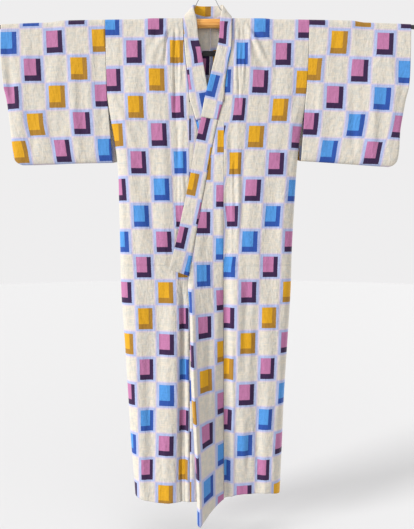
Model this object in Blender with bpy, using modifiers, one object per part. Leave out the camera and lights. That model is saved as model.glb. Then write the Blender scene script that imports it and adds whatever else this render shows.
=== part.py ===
"""Cotton yukata robe hung on a straight kimono hanger, held at the top of its hook."""
import math

import bmesh
import bpy
import numpy as np
from mathutils import Vector

for leftover in list(bpy.data.objects):
    bpy.data.objects.remove(leftover, do_unlink=True)

# Driving sizes in millimetres; MM turns them into metres
# X is towards the wearer's left sleeve, the front of the robe faces -Y, +Z is up
MM = 0.001
CLOTH = 1.4
SEAM = 0.3
BAR_Z = -150.0
BAR_R = 14.0
BAR_END = 160.0
ARM_R = 11.0
ARM_END = 430.0
TIP_R = 6.5
TIP_END = 688.0
DROOP = 12.0
REST = 0.6
SHOULDER = BAR_Z + BAR_R + REST + CLOTH
HOOK_R = 16.0
HOOK_WIRE = 2.0
SLING_R = 1.3
BAND_HALF = 1.4
COVER_GAP = 0.5
COVER_WALL = 1.0
SLEEVE_SEAM = 325.0
UNDERARM = 390.0
BACK_HEM = 1568.0

# Half width of the body against the depth below the shoulder line
SIDE_COLUMNS = ("depth", "wearer_right", "wearer_left")
SIDE = (
    (0, 324, 326),
    (180, 322, 322),
    (275, 318, 315),
    (330, 310, 308),
    (390, 300, 300),
    (463, 291, 293),
    (600, 287, 285),
    (734, 285, 279),
    (878, 283, 276),
    (1050, 273, 267),
    (1240, 263, 257),
    (1395, 255, 252),
    (1568, 243, 246),
    (1640, 240, 244),
)

# How far the front and the back stand off the plane of the bar
GIRTH_COLUMNS = ("depth", "front", "back")
GIRTH = (
    (0, 15, 15),
    (80, 17, 18),
    (180, 18, 20),
    (300, 19, 22),
    (450, 20, 25),
    (650, 22, 30),
    (850, 25, 35),
    (1100, 29, 40),
    (1350, 34, 46),
    (1580, 39, 51),
    (1640, 40, 52),
)

# Inner edge of each front panel: the neck, then the seam to its overlap strip
EDGE_COLUMNS = ("depth", "wearer_right", "wearer_left")
EDGE = (
    (0, 77, 80),
    (50, 75, 80),
    (100, 71.5, 78),
    (168, 65, 63.7),
    (215, 59.5, 57.5),
    (257, 57, 55.4),
    (300, 57, 55),
    (1640, 57, 57),
)

# The collar's slanting seam below the tip of the overlap strip
SLANT_COLUMNS = ("depth", "wearer_right", "wearer_left")
SLANT = (
    (257, -57, 55.4),
    (326, -37, 36),
    (402, -19, 19.2),
    (489, -2, 2.6),
    (577, 14, -14),
    (656, 28, -28.5),
    (751, 44, -45),
    (824, 57, -57.5),
    (1000, 88, -92),
)

# Hem of the front panels against x
HEM_COLUMNS = ("x", "depth")
HEM = (
    (-246, 1567),
    (-190, 1580),
    (-143, 1584),
    (-100, 1581),
    (-40, 1579),
    (40, 1570),
    (62, 1562),
    (95, 1552),
    (150, 1550),
    (215, 1552),
    (248, 1562),
)

# Front edge of the top overlap strip below the collar
RIDGE_COLUMNS = ("depth", "x", "forward", "hem_drop")
RIDGE = (
    (560, -20, 0, 0),
    (700, -38, 9, 0),
    (824, -51, 20, 4),
    (958, -46, 30, 12),
    (1140, -42, 43, 22),
    (1298, -33, 54, 40),
    (1474, -23, 62, 52),
    (1626, -21, 66, 57),
    (1700, -21, 66, 58),
)

# Largest folds of the front and the back; out is forward on the front, backward on the back
FOLD_COLUMNS = ("side", "x_top", "x_low", "from", "to", "out", "half_width")
FOLDS = (
    ("front", -79, -80, 800, 1900, -8.0, 13),
    ("front", -112, -125, 760, 1900, 6.0, 26),
    ("front", -98, -100, 10, 760, -3.5, 12),
    ("front", -180, -196, 980, 1900, -4.5, 20),
    ("front", 64, 64, 780, 1900, -8.0, 14),
    ("front", 98, 98, 740, 1900, 5.0, 24),
    ("front", 112, 146, 10, 620, -3.0, 14),
    ("front", 160, 166, 900, 1900, -5.0, 20),
    ("front", 205, 196, 1150, 1900, 4.0, 18),
    ("front", -106, -94, 0, 70, 4.0, 6),
    ("front", -122, -112, 0, 60, -3.0, 5),
    ("front", 106, 98, 0, 70, 4.0, 6),
    ("front", 124, 116, 0, 62, -3.0, 5),
    ("back", -110, -150, 120, 1900, 6.0, 30),
    ("back", 95, 128, 260, 1900, -6.0, 26),
    ("back", -60, -62, 700, 1900, -6.0, 22),
    ("back", 186, 170, 900, 1900, 6.0, 24),
    ("back", 20, 34, 1000, 1900, 5.0, 24),
    ("back", -200, -184, 1150, 1900, -5.0, 20),
    ("back", -102, -92, 0, 66, 4.0, 6),
    ("back", 104, 94, 0, 62, 4.0, 6),
)

# Outer and inner edge of each sleeve, measured out from the middle
SLEEVE_COLUMNS = ("depth", "right_outer", "right_inner", "left_outer", "left_inner")
SLEEVE = (
    (0, 658, 324.6, 652, 326.6),
    (111, 661, 323, 652, 324.6),
    (204, 655, 321.6, 650, 321.6),
    (279, 645, 319.4, 639, 317),
    (350, 638, 314, 628, 312),
    (422, 632, 309, 625, 307),
    (480, 627, 307, 617, 305),
)
SLEEVE_HEM_COLUMNS = ("share", "wearer_right", "wearer_left")
SLEEVE_HEM = (
    (0.0, 457, 451),
    (0.35, 459, 458),
    (0.75, 464, 467),
    (1.0, 465, 472),
)

# Folds of the sleeves; share runs from the body to the wrist
SLEEVE_FOLD_COLUMNS = ("sleeve", "share_top", "share_low", "from", "to", "out", "half_share")
SLEEVE_FOLDS = (
    ("right", 0.30, 0.34, 60, 460, 2.5, 0.07),
    ("right", 0.62, 0.58, 90, 460, -2.5, 0.06),
    ("left", 0.36, 0.30, 60, 460, -2.5, 0.07),
    ("left", 0.90, 0.86, 150, 460, 3.0, 0.05),
    ("left", 0.66, 0.70, 60, 420, 2.0, 0.07),
)

# Collar band from the middle of the back neck down the wearer's left front
# seam_z and free_z are heights over the shoulder line
COLLAR_COLUMNS = ("seam_x", "seam_y", "seam_z", "free_x", "free_y", "free_z")
COLLAR_LEFT = (
    (0.0, 17.8, -15.2, 0.0, 24.0, 46.0),
    (28.0, 17.8, -15.2, 22.0, 23.5, 46.4),
    (56.0, 17.6, -14.0, 39.0, 19.5, 47.0),
    (71.0, 13.8, -5.0, 47.0, 11.5, 46.0),
    (77.2, 3.0, 1.6, 49.5, 3.0, 42.0),
    (78.2, -7.0, 0.4, 49.5, -6.0, 33.0),
    (78.7, -14.0, -4.8, 48.5, -13.0, 22.0),
    (79.0, -17.8, -18.0, 46.5, -17.8, 10.0),
    (79.6, -18.3, -50.0, 42.5, -19.5, -14.0),
)
COLLAR_RIGHT = (
    (0.0, 17.8, -15.2, 0.0, 24.0, 46.0),
    (-28.0, 17.8, -15.2, -22.0, 23.5, 46.4),
    (-55.0, 17.6, -14.0, -35.5, 19.5, 47.0),
    (-68.0, 13.8, -5.0, -42.0, 11.5, 46.0),
    (-74.2, 3.0, 1.6, -44.0, 3.0, 41.0),
    (-75.2, -7.0, 0.4, -43.5, -6.0, 31.0),
    (-75.4, -14.0, -4.8, -42.0, -13.0, 20.0),
    (-75.4, -17.8, -18.0, -39.0, -17.8, 7.0),
    (-74.6, -18.3, -50.0, -33.5, -19.0, -17.0),
)
# Free edge against the seam's depth lower down, both ends of the band
FREE_COLUMNS = ("seam_depth", "left_x", "left_depth", "right_x", "right_depth")
FREE = (
    (100, 40, 62, -29, 64),
    (140, 33, 100, -21, 100),
    (200, 12, 186, -7, 182),
    (257, -3, 243, 4, 240),
    (326, -18, 316, 19, 315),
    (402, -35, 390, 36, 390),
    (489, -50, 477, 51, 477),
    (577, -68, 566, 67, 566),
    (656, -84, 644, 83, 644),
    (751, -105, 739, 101, 739),
    (824, -121, 802, 118, 803),
)

# Wire sling from the bar up to the hook, inside the neck; the same on both sides
SLING_COLUMNS = ("x", "z")
SLING = (
    (62, -135.7),
    (62, -131),
    (57, -121),
    (48, -110.5),
    (40, -101),
    (35, -92),
    (31, -84),
    (23, -68),
    (13, -50),
    (5, -38),
    (0, -35),
)

# Depths of the rows of a body panel
ROWS = (16, 30, 48, 72, 105, 145, 190, 235, 280, 325, 362, 390, 440, 500, 565, 635, 705, 770,
        830, 890, 960, 1030, 1100, 1180, 1260, 1340, 1420, 1500, 1568)


def smooth(value):
    part = np.clip(value, 0.0, 1.0)
    return part * part * (3.0 - 2.0 * part)


def follow(table, column, at):
    """A smooth curve through one column of a table, against the first column."""
    xs = np.array([row[0] for row in table], dtype=float)
    ys = np.array([row[column] for row in table], dtype=float)
    slope = np.gradient(ys, xs)
    at = np.clip(np.asarray(at, dtype=float), xs[0], xs[-1])
    low = np.clip(np.searchsorted(xs, at) - 1, 0, len(xs) - 2)
    span = xs[low + 1] - xs[low]
    t = (at - xs[low]) / span
    rise = ys[low] * (1 + 2 * t) * (1 - t) ** 2 + ys[low + 1] * t * t * (3 - 2 * t)
    return rise + span * (slope[low] * t * (1 - t) ** 2 - slope[low + 1] * t * t * (1 - t))


def bar_height(x):
    out = np.clip(np.abs(x) - BAR_END, 0.0, None) / (TIP_END - BAR_END)
    return BAR_Z - DROOP * out * out


def bar_radius(x):
    """Radius that the inner face of the cloth follows over the hanger."""
    first = (BAR_R - ARM_R) * smooth((np.abs(x) - BAR_END - 12) / 50)
    second = (ARM_R - TIP_R) * smooth((np.abs(x) - ARM_END - 28) / 50)
    return BAR_R - first - second + REST


def half_width(depth, sign):
    return follow(SIDE, 2 if sign > 0 else 1, depth)


def first_depth(x):
    return SHOULDER - bar_height(x)


def fold_sum(side, x, depth):
    total = np.zeros(np.broadcast(x, depth).shape)
    for name, x_top, x_low, start, end, out, wide in FOLDS:
        if name != side:
            continue
        centre = x_top + (x_low - x_top) * np.clip((depth - start) / (1580 - start), 0, 1)
        if end < 1000:
            centre = x_top + (x_low - x_top) * np.clip((depth - start) / (end - start), 0, 1)
        rise = smooth((depth - start) / 160.0) if start > 20 else smooth((depth - 15) / 12.0)
        rise = rise * smooth((end - depth) / (0.5 * (end - start)))
        total = total + out * rise * np.exp(-((x - centre) / wide) ** 2)
    return total


def stand(side, x, depth):
    """Distance of the cloth's inner face from the plane of the bar."""
    sign = np.where(np.asarray(x) >= 0, 1, -1)
    width = np.where(sign > 0, half_width(depth, 1), half_width(depth, -1))
    away = width - np.abs(x)
    girth = follow(GIRTH, 1 if side == "front" else 2, depth)
    nose = 1.0 - (1.0 - np.clip(away / 46.0, 0.0, 1.0)) ** 2
    closed = girth * np.sqrt(np.clip(nose, 0.0, 1.0))
    edge = 10.0
    share = np.clip(np.abs(x) / width, 0.0, 1.0) ** 4
    opened = girth + (edge - girth) * share
    closing = smooth((depth - 220.0) / (UNDERARM - 220.0))
    hang = closed * closing + opened * (1.0 - closing)
    hang = hang + fold_sum(side, x, depth) * smooth(away / 60.0)
    top = smooth((depth - first_depth(x)) / 110.0)
    return bar_radius(x) * (1.0 - top) + hang * top


def lift(x, depth):
    """How far the wearer's left front lies over the right one."""
    across = smooth((215.0 - x) / 85.0)
    valley = 3.2 * np.exp(-((x - 64.0) / 13.0) ** 2) * smooth((depth - 480.0) / 90.0)
    return (7.0 * across - valley * smooth((960.0 - depth) / 120.0)) * smooth((depth - 50.0) / 100.0)


def forward(x, depth):
    """The top overlap strip swings forward towards its free edge."""
    ridge = follow(RIDGE, 1, depth)
    share = np.clip((56.0 - x) / (56.0 - ridge), 0.0, 1.5)
    return follow(RIDGE, 2, depth) * share ** 1.4


def front_y(sign, x, depth):
    away = stand("front", x, depth)
    if sign > 0:
        away = away + lift(x, depth) + forward(x, depth)
    return -away


def back_y(x, depth):
    return stand("back", x, depth)


def spread(shape, start, end, shares):
    """Positions along a section at equal shares of its length."""
    dense = np.sin(np.linspace(0.0, 1.0, 500) * math.pi / 2) * (end - start) + start
    run = np.hypot(np.diff(dense), np.diff(shape(dense)))
    length = np.concatenate([[0.0], np.cumsum(run)])
    return np.interp(np.asarray(shares) * length[-1], length, dense)


def add_object(name, points, faces, colour, roughness, metallic=0.0):
    mesh = bpy.data.meshes.new(name)
    mesh.from_pydata([tuple(float(c) * MM for c in p) for p in points], [], faces)
    mesh.update()
    obj = bpy.data.objects.new(name, mesh)
    collection.objects.link(obj)
    paint(obj, name, colour, roughness, metallic)
    return obj


def paint(obj, name, colour, roughness, metallic):
    material = bpy.data.materials.new(name)
    material.use_nodes = True
    shader = material.node_tree.nodes["Principled BSDF"]
    shader.inputs["Base Color"].default_value = (*colour, 1.0)
    shader.inputs["Roughness"].default_value = roughness
    shader.inputs["Metallic"].default_value = metallic
    obj.data.materials.append(material)
    for polygon in obj.data.polygons:
        polygon.use_smooth = True


def thicken(obj):
    solid = obj.modifiers.new("Cloth thickness", "SOLIDIFY")
    solid.thickness = CLOTH * MM
    solid.offset = 1.0
    solid.use_quality_normals = True


collection = bpy.data.collections.new("yukata_robe_on_hanger")
bpy.context.scene.collection.children.link(collection)


# Body panels
def body_panel(name, sign, colour):
    """One strip from the back hem over the bar to the front hem, open at the armhole."""
    front_shares = np.linspace(0.0, 1.0, 13)
    neck_steps = 4
    rows = len(ROWS)
    side_row = ROWS.index(UNDERARM)
    points = []
    front = []
    back = []
    for j, nominal in enumerate(ROWS):
        part = (nominal - ROWS[0]) / (ROWS[-1] - ROWS[0])
        width = float(half_width(nominal, sign))
        inner = float(follow(EDGE, 2 if sign > 0 else 1, nominal))
        xs = spread(lambda x: front_y(sign, sign * x, nominal), inner, width, front_shares)
        line = []
        for i, x in enumerate(xs):
            low = float(follow(HEM, 1, sign * x))
            depth = float(first_depth(x)) + part * (low - float(first_depth(x)))
            share = front_shares[i]
            x += share * (float(half_width(depth, sign)) - width)
            x += (1 - share) * (float(follow(EDGE, 2 if sign > 0 else 1, depth)) - inner)
            line.append(len(points))
            points.append((sign * x, float(front_y(sign, sign * x, depth)), SHOULDER - depth))
        front.append(line)
        across = inner if j == 0 else inner * 1.0
        neck = [across * k / neck_steps for k in range(neck_steps)]
        reach = across + (width - across) * front_shares
        xs = np.concatenate([neck, reach])
        if j > 0:
            shares = xs / width
            even = spread(lambda x: back_y(sign * x, nominal), 0.0, width, shares)
            xs = xs + (even - xs) * smooth((nominal - 16) / 200.0)
        line = []
        for i, x in enumerate(xs):
            low = BACK_HEM + (float(follow(HEM, 1, sign * width)) - BACK_HEM) * (x / width) ** 6
            depth = float(first_depth(x)) + part * (low - float(first_depth(x)))
            x += (x / width) * (float(half_width(depth, sign)) - width)
            if i == 0:
                x = SEAM / 2 + 0.1
            line.append(len(points))
            points.append((sign * x, float(back_y(sign * x, depth)), SHOULDER - depth))
        back.append(line)
    for j in range(side_row, rows):
        merged = points[front[j][-1]]
        points[front[j][-1]] = (merged[0], 0.0, merged[2])
        back[j][-1] = front[j][-1]
    faces = []
    for j in range(rows - 1):
        for i in range(len(front[0]) - 1):
            faces.append((front[j][i], front[j + 1][i], front[j + 1][i + 1], front[j][i + 1]))
        for i in range(len(back[0]) - 1):
            faces.append((back[j][i], back[j][i + 1], back[j + 1][i + 1], back[j + 1][i]))
    # the part that lies over the bar
    turns = 8
    ring = [front[0]]
    for k in range(1, turns):
        angle = math.pi * k / turns
        line = []
        for i in range(len(front[0])):
            x = points[front[0][i]][0]
            radius = float(bar_radius(x))
            z = float(bar_height(x)) + radius * math.sin(angle)
            line.append(len(points))
            points.append((x, -radius * math.cos(angle), z))
        ring.append(line)
    ring.append(back[0][neck_steps:])
    for k in range(turns):
        for i in range(len(front[0]) - 1):
            faces.append((ring[k][i], ring[k][i + 1], ring[k + 1][i + 1], ring[k + 1][i]))
    faces = [face[::-1] for face in faces] if sign < 0 else faces
    used = sorted({index for face in faces for index in face})
    order = {old: new for new, old in enumerate(used)}
    points = [points[old] for old in used]
    faces = [tuple(order[index] for index in face) for face in faces]
    obj = add_object(name, points, faces, colour, 0.85)
    thicken(obj)
    return obj


# Sleeves
def sleeve_half(sign, share, part, depth):
    """Half the distance between the inner faces of a sleeve."""
    x = SLEEVE_SEAM + share * 330.0
    top = smooth((depth - float(first_depth(x))) / 100.0)
    edge_in = 10.0 * (1 - top) + 9.4 * top
    half = float(bar_radius(x)) * (1 - top) + (9.4 + 1.0 * math.sin(math.pi * share)) * top
    near = smooth(1.0 - share / 0.15)
    half = half * (1 - near) + (float(bar_radius(x)) * (1 - top) + edge_in * top) * near
    low = 1.0 - (1.0 - np.clip((1.0 - part) / 0.07, 0.0, 1.0)) ** 2
    half *= math.sqrt(low)
    shut = float(smooth((part - 0.46) / 0.1))
    end = 1.0 - (1.0 - np.clip((1.0 - share) / 0.07, 0.0, 1.0)) ** 2
    return half * (1.0 - shut + shut * math.sqrt(end))


def sleeve_inner(sign, depth):
    """The sleeve's edge runs along the body's at the armhole and hangs free below it."""
    joined = float(half_width(depth, sign)) + SEAM + 0.3 + 0.6 * float(smooth((depth - 150.0) / 60.0))
    free = float(follow(SLEEVE, 4 if sign > 0 else 2, depth))
    return joined + (max(free, joined) - joined) * float(smooth((depth - 250.0) / 90.0))


def sleeve(name, sign, colour):
    """A bag over the bar: open at the wrist and along the body below the armhole."""
    shares = [0.0, 0.1, 0.2, 0.3, 0.4, 0.5, 0.6, 0.7, 0.8, 0.88, 0.94, 0.975, 0.993, 1.0]
    parts = [0.0, 0.03, 0.08, 0.15, 0.24, 0.34, 0.45, 0.56, 0.67, 0.78, 0.87, 0.93, 0.97, 0.992, 1.0]
    outer = 3 if sign > 0 else 1
    label = "left" if sign > 0 else "right"
    points = []
    grids = {"front": [], "back": []}
    for side in ("front", "back"):
        for part in parts:
            line = []
            for share in shares:
                low = float(follow(SLEEVE_HEM, 2 if sign > 0 else 1, share))
                corner = max(0.0, share - 0.9) / 0.1
                low -= 30.0 * (1.0 - math.sqrt(max(0.0, 1.0 - corner * corner)))
                depth = 24.0 + part * (low - 24.0)
                x_in = sleeve_inner(sign, depth)
                x_out = float(follow(SLEEVE, outer, depth))
                x = x_in + share * (x_out - x_in)
                depth = float(first_depth(x)) + part * (low - float(first_depth(x)))
                half = sleeve_half(sign, share, part, depth)
                wave = 0.0
                for which, top, bottom, start, end, out, wide in SLEEVE_FOLDS:
                    if which == label:
                        centre = top + (bottom - top) * part
                        rise = float(smooth((depth - start) / 90.0) * smooth((end + 60 - depth) / 90.0))
                        wave += out * rise * math.exp(-((share - centre) / wide) ** 2)
                wave *= float(smooth(share / 0.12) * smooth((1 - share) / 0.06) * smooth((1 - part) / 0.1))
                y = -half - wave if side == "front" else half - 0.6 * wave
                line.append(len(points))
                points.append((sign * x, y, SHOULDER - depth))
            grids[side].append(line)
    front = grids["front"]
    back = grids["back"]
    last = len(shares) - 1
    for j, part in enumerate(parts):
        for i in range(len(shares)):
            if j == len(parts) - 1 or (i == last and part >= 0.56):
                x, _, z = points[front[j][i]]
                points[front[j][i]] = (x, 0.0, z)
                back[j][i] = front[j][i]
    faces = []
    for j in range(len(parts) - 1):
        for i in range(last):
            faces.append((front[j][i], front[j + 1][i], front[j + 1][i + 1], front[j][i + 1]))
            faces.append((back[j][i], back[j][i + 1], back[j + 1][i + 1], back[j + 1][i]))
    turns = 8
    ring = [front[0]]
    for k in range(1, turns):
        angle = math.pi * k / turns
        line = []
        for i in range(last + 1):
            x, y, _ = points[front[0][i]]
            line.append(len(points))
            z = float(bar_height(x)) - y * math.sin(angle)
            points.append((x, y * math.cos(angle), z))
        ring.append(line)
    ring.append(back[0])
    for k in range(turns):
        for i in range(last):
            faces.append((ring[k][i], ring[k][i + 1], ring[k + 1][i + 1], ring[k + 1][i]))
    faces = [face[::-1] for face in faces] if sign < 0 else faces
    used = sorted({index for face in faces for index in face})
    order = {old: new for new, old in enumerate(used)}
    points = [points[old] for old in used]
    faces = [tuple(order[index] for index in face) for face in faces]
    obj = add_object(name, points, faces, colour, 0.85)
    thicken(obj)
    return obj


# Overlap strips
def okumi_under(name, colour):
    """The wearer's right overlap strip, flat under the left front."""
    shares = np.linspace(0.0, 1.0, 6)
    rows = [268, 326, 402, 489, 577, 656, 751, 822, 870, 960, 1060, 1160, 1260, 1360, 1460, 1568]
    points = []
    for nominal in rows:
        part = (nominal - rows[0]) / (rows[-1] - rows[0])
        reach = min(float(follow(SLANT, 1, nominal)), 90.0)
        for share in shares:
            x = -57.0 + SEAM + share * (reach + 57.0 - SEAM)
            low = float(follow(HEM, 1, x)) - 12.0 * float(smooth((x - 10.0) / 40.0))
            depth = rows[0] + part * (low - rows[0])
            if nominal < 830:
                depth = nominal
            x = max(x, -56.9 + SEAM)
            points.append((x, float(front_y(-1, x, depth)), SHOULDER - depth))
    count = len(shares)
    faces = []
    for j in range(len(rows) - 1):
        for i in range(count - 1):
            a = j * count + i
            faces.append((a, a + count, a + count + 1, a + 1))
    obj = add_object(name, points, faces, colour, 0.85)
    thicken(obj)
    return obj


def okumi_over(name, colour):
    """The wearer's left overlap strip, swung forward, its edge turned back below the collar."""
    shares = [0.0, 0.16, 0.32, 0.48, 0.62, 0.74, 0.82, 0.88, 0.94, 1.0]
    rows = [268, 326, 402, 489, 577, 656, 751, 824, 858, 910, 980, 1060, 1140, 1220, 1300, 1380,
            1450, 1510, 1568]
    points = []
    for nominal in rows:
        part = (nominal - rows[0]) / (rows[-1] - rows[0])
        ridge = float(follow(RIDGE, 1, nominal))
        drop = float(follow(RIDGE, 3, nominal))
        for share in shares:
            seam_x = float(follow(EDGE, 2, nominal)) - SEAM - 0.15 - 0.9 * float(smooth((nominal - 560.0) / 300.0))
            slant = float(follow(SLANT, 2, nominal))
            turn = float(smooth((nominal - 824.0) / 60.0))
            flat = seam_x + share * (slant - seam_x)
            bent_share = share / 0.82
            if bent_share <= 1.0:
                bent = seam_x + bent_share * (ridge - seam_x)
                inward = 0.0
                bent += -3.0 * math.sin(math.pi * min(bent_share, 1.0)) ** 2 * bent_share
            else:
                round_off = (share - 0.82) / 0.18
                bent = ridge - 9.0 * math.sin(round_off * math.pi / 2)
                inward = 24.0 * round_off ** 1.4
            x = flat if nominal <= 824 else flat * (1 - turn) + bent * turn
            low = 1568.0
            depth = rows[0] + part * (low - rows[0]) + drop * min(bent_share, 1.0) ** 1.2
            if nominal <= 824:
                depth = nominal
            y = float(front_y(1, max(x, ridge) if nominal > 824 else x, depth))
            y += inward * turn if nominal > 824 else 0.0
            points.append((x, y, SHOULDER - depth))
    count = len(shares)
    faces = []
    for j in range(len(rows) - 1):
        for i in range(count - 1):
            a = j * count + i
            faces.append((a, a + 1, a + count + 1, a + count))
    obj = add_object(name, points, faces, colour, 0.85)
    thicken(obj)
    return obj


# Collar
def collar_stations():
    """Seam point and free-edge point of the band from its right end round to its left end."""
    halves = {}
    for sign, table in ((1, COLLAR_LEFT), (-1, COLLAR_RIGHT)):
        stations = []
        for sx, sy, sz, fx, fy, fz in table:
            stations.append(((sx, sy, SHOULDER + sz), (fx, fy, SHOULDER + fz)))
        column = 1 if sign > 0 else 3
        for depth in (100, 140, 180, 215, 257, 290, 326, 364, 402, 445, 489, 533, 577, 616, 656,
                      703, 751, 788, 824):
            if depth < 257:
                seam_x = sign * float(follow(EDGE, 2 if sign > 0 else 1, depth))
            else:
                seam_x = float(follow(SLANT, 2 if sign > 0 else 1, depth))
            free_x = float(follow(FREE, column, depth))
            free_depth = float(follow(FREE, column + 1, depth))
            middle = CLOTH / 2
            sy = float(front_y(sign, seam_x, depth)) - middle
            fy = float(front_y(sign, free_x, free_depth)) - middle
            stations.append(((seam_x, sy, SHOULDER - depth), (free_x, fy, SHOULDER - free_depth)))
        halves[sign] = stations
    line = list(reversed(halves[-1][1:])) + halves[1]
    return [(Vector(seam), Vector(free)) for seam, free in line]


def refine(stations):
    """Adds points between the stations on a smooth curve, where the band turns round the neck."""
    result = []
    count = len(stations)
    for i in range(count - 1):
        times = 2 if stations[i][0].z > SHOULDER - 110.0 or stations[i + 1][0].z > SHOULDER - 110.0 else 1
        for k in range(times):
            t = k / times
            pair = []
            for which in (0, 1):
                p0 = stations[max(i - 1, 0)][which]
                p1 = stations[i][which]
                p2 = stations[i + 1][which]
                p3 = stations[min(i + 2, count - 1)][which]
                a = 2 * p1
                b = p2 - p0
                c = 2 * p0 - 5 * p1 + 4 * p2 - p3
                d = 3 * p1 - p0 - 3 * p2 + p3
                pair.append(0.5 * (a + b * t + c * t * t + d * t ** 3))
            result.append(tuple(pair))
    result.append(stations[-1])
    return result


def band_frames(stations):
    frames = []
    for i, (seam, free) in enumerate(stations):
        before = stations[max(i - 1, 0)]
        after = stations[min(i + 1, len(stations) - 1)]
        along = (after[0] + after[1] - before[0] - before[1]).normalized()
        across = free - seam
        width = across.length
        across.normalize()
        normal = along.cross(across).normalized()
        frames.append((seam, across, normal, width))
    return frames


def sweep(name, frames, section, colour):
    """Closed slab through the frames; section gives its outline for a width."""
    points = []
    for seam, across, normal, width in frames:
        for a, b in section(width):
            points.append(seam + across * a + normal * b)
    outline = section(50.0)
    count = len(outline)
    faces = []
    for j in range(len(frames) - 1):
        for i in range(count):
            a = j * count + i
            b = j * count + (i + 1) % count
            if outline[i][0] <= outline[(i + 1) % count][0]:
                faces.append((a, b, b + count))
                faces.append((a, b + count, a + count))
            else:
                faces.append((a, b, a + count))
                faces.append((b, b + count, a + count))
    faces.append(tuple(range(count))[::-1])
    faces.append(tuple(range((len(frames) - 1) * count, len(frames) * count)))
    return add_object(name, points, faces, colour, 0.85)


def band_section(width):
    h = BAND_HALF
    start = 0.85
    return ((start, -h), (width * 0.5, -h), (width - 1.2, -h), (width - 0.3, -0.5 * h), (width, 0.0),
            (width - 0.3, 0.5 * h), (width - 1.2, h), (width * 0.5, h), (start, h))


def cover_section(width):
    inside = BAND_HALF + COVER_GAP
    outside = inside + COVER_WALL
    start = 1.3
    return ((start, -outside), (width * 0.5, -outside), (width - 0.6, -outside),
            (width + 0.9, -0.55 * outside), (width + 1.6, 0.0), (width + 0.9, 0.55 * outside),
            (width - 0.6, outside), (width * 0.5, outside), (start, outside),
            (start, inside), (width * 0.5, inside), (width - 0.7, inside), (width + 0.6, 0.0),
            (width - 0.7, -inside), (width * 0.5, -inside), (start, -inside))


def tube(name, path, radius, colour, roughness, metallic, resolution=4):
    """A rod along a path, its ends capped."""
    data = bpy.data.curves.new(name, "CURVE")
    data.dimensions = "3D"
    data.bevel_depth = radius * MM
    data.bevel_resolution = resolution
    data.use_fill_caps = True
    line = data.splines.new("POLY")
    line.points.add(len(path) - 1)
    for point, place in zip(line.points, path):
        point.co = (*(c * MM for c in place), 1.0)
    obj = bpy.data.objects.new(name, data)
    collection.objects.link(obj)
    bpy.context.view_layer.update()
    mesh = bpy.data.meshes.new_from_object(obj)
    bpy.data.objects.remove(obj, do_unlink=True)
    form = bmesh.new()
    form.from_mesh(mesh)
    bmesh.ops.remove_doubles(form, verts=form.verts, dist=0.00001)
    form.to_mesh(mesh)
    form.free()
    obj = bpy.data.objects.new(name, mesh)
    collection.objects.link(obj)
    paint(obj, name, colour, roughness, metallic)
    return obj


COTTON_CREAM = (0.62, 0.55, 0.55)
COTTON_VIOLET = (0.42, 0.36, 0.50)
COTTON_BLUE = (0.38, 0.42, 0.60)
WOOD = (0.72, 0.42, 0.16)
BLACK = (0.02, 0.02, 0.022)
STEEL = (0.55, 0.55, 0.56)

body_panel("body_left", 1, COTTON_CREAM)
body_panel("body_right", -1, COTTON_CREAM)
sleeve("sleeve_left", 1, COTTON_CREAM)
sleeve("sleeve_right", -1, COTTON_CREAM)
okumi_over("okumi_left", COTTON_VIOLET)
okumi_under("okumi_right", COTTON_VIOLET)

stations = collar_stations()
frames = band_frames(refine(stations))
sweep("collar", frames, band_section, COTTON_BLUE)
covered = [i for i, (seam, _, _, _) in enumerate(frames) if seam.z > SHOULDER - 330.0]
sweep("collar_cover", frames[covered[0]:covered[-1] + 1], cover_section, COTTON_BLUE)

# A blank woven label inside the back neck
bpy.ops.mesh.primitive_cube_add(size=1.0)
label = bpy.context.object
label.name = "neck_label"
label_depth = 104.0
label_y = float(min(back_y(x, label_depth) for x in (-15.0, 8.0, 31.0))) - 1.15
label.scale = (46.0 * MM, 0.6 * MM, 17.0 * MM)
label.location = (8.0 * MM, label_y * MM, (SHOULDER - label_depth) * MM)
for owner in list(label.users_collection):
    owner.objects.unlink(label)
collection.objects.link(label)
paint(label, "neck_label", BLACK, 0.7, 0.0)

# Hanger: wooden middle, two telescoping arms with end caps, wire sling and hook
bar_path = [(x, 0.0, BAR_Z) for x in (-BAR_END, 0.0, BAR_END)]
tube("hanger_bar", bar_path, BAR_R, WOOD, 0.5, 0.0, 8)
for side_name, sign in (("left", 1), ("right", -1)):
    xs = np.linspace(BAR_END + SEAM, ARM_END, 6)
    path = [(sign * x, 0.0, float(bar_height(x))) for x in xs]
    tube("hanger_arm_" + side_name, path, ARM_R, BLACK, 0.35, 0.3, 5)
    xs = np.linspace(ARM_END + SEAM, TIP_END, 6)
    path = [(sign * x, 0.0, float(bar_height(x))) for x in xs]
    tube("hanger_end_" + side_name, path, TIP_R, BLACK, 0.35, 0.3, 4)

sling_path = [(-x, 0.0, z) for x, z in SLING] + [(x, 0.0, z) for x, z in reversed(SLING[:-1])]
tube("hanger_sling", sling_path, SLING_R, STEEL, 0.3, 1.0, 3)

foot = SLING[-1][1] + SLING_R + 0.3
hook_path = [(0.0, 0.0, foot), (0.0, 0.0, foot + 1.8), (1.2, 0.0, foot + 3.8)]
centre = -(HOOK_R - HOOK_WIRE)
for step in range(16):
    angle = math.radians(-70.0 + step * 18.0)
    hook_path.append((HOOK_R * math.cos(angle), 0.0, centre + HOOK_R * math.sin(angle)))
tube("hanger_hook", hook_path, HOOK_WIRE, STEEL, 0.3, 1.0, 3)
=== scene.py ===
"""Looks of the cotton yukata robe: printed cloth with its creases, collar, label and hanger."""
import math

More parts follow.
